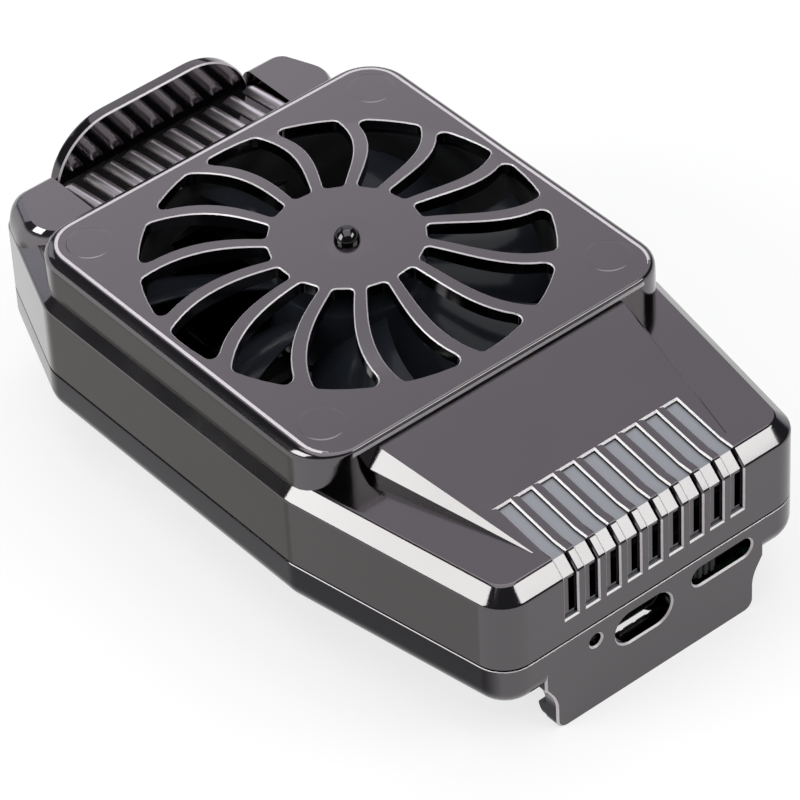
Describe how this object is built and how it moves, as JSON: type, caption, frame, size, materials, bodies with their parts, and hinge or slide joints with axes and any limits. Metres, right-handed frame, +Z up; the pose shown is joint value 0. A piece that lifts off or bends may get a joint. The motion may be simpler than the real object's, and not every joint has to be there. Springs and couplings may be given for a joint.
{
  "type": "phone cooling fan",
  "caption": "Clip-on phone cooling fan: plated case, domed spoked grille over an axial fan, vented hood, fixed front jaw and sprung sliding rear jaw with a ribbed thumb grip.",
  "frame": {"origin": "centre of the case's plan, on the surface that the two jaw tips stand on", "axes": "+Y along the case towards the thumb grip, +Z up out of the grille, +X to the right when looking from the charge end"},
  "size_m": [0.0576, 0.0946, 0.0338],
  "materials": {
    "plated_case": "dark satin plating over moulded plastic",
    "plated_grip": "dark polished plating over moulded plastic",
    "soft_pad": "matt soft rubber",
    "foot_rubber": "translucent grey silicone",
    "spring_steel": "drawn wire",
    "black_plastic": "moulded black plastic",
    "blade_plastic": "glossy black plastic",
    "bright_steel": "ground steel",
    "bronze": "sintered bronze",
    "clip_plastic": "natural nylon",
    "yoke_steel": "rolled steel",
    "magnet": "bonded ferrite",
    "core_steel": "stamped laminations",
    "copper_wire": "enamelled copper wire",
    "circuit_board": "solder-masked board",
    "lead_cover": "flexible wire cover",
    "cell_foil": "pouch foil",
    "foam_tape": "closed-cell foam",
    "socket_steel": "stamped steel",
    "knob_plastic": "moulded black plastic",
    "lamp_lens": "clear resin",
    "dark_steel": "blackened steel"
  },
  "bodies": {
    "case": {"upper_shell": "plated_case", "lower_shell": "plated_case", "front_jaw_pad": "soft_pad", "foot_pads": "foot_rubber", "fan_frame": "black_plastic", "fan_bearing": "bronze", "fan_stator": "core_steel", "fan_windings": "copper_wire", "fan_board": "circuit_board", "fan_leads": "lead_cover", "battery": "cell_foil", "battery_tape": "foam_tape", "battery_leads": "lead_cover", "control_board": "circuit_board", "usb_socket": "socket_steel", "slide_switch": "black_plastic", "charge_led": "lamp_lens", "board_screws": "bright_steel", "case_screws": "dark_steel", "clamp_spring_left": "spring_steel", "clamp_spring_right": "spring_steel"},
    "clamp": {"clamp_slider": "plated_grip", "rear_jaw_pad": "soft_pad"},
    "rotor": {"fan_rotor": "blade_plastic", "fan_shaft": "bright_steel", "shaft_clip": "clip_plastic", "fan_yoke": "yoke_steel", "fan_magnet": "magnet"},
    "knob": {"switch_knob": "knob_plastic"}
  },
  "joints": [
    {"name": "fan_spin", "type": "hinge", "parent": "case", "child": "rotor", "pos_m": [0, 0.0073, 0.02], "axis": [0, 0, 1], "continuous": true},
    {"name": "clamp_slide", "type": "slide", "parent": "case", "child": "clamp", "axis": [0, 1, 0], "range_m": [0, 0.022], "stiffness_N_per_m": 60, "springref_m": -0.01, "deforming": ["clamp_spring_left", "clamp_spring_right"]},
    {"name": "switch_slide", "type": "slide", "parent": "case", "child": "knob", "axis": [1, 0, 0], "range_m": [0, 0.004]}
  ]
}
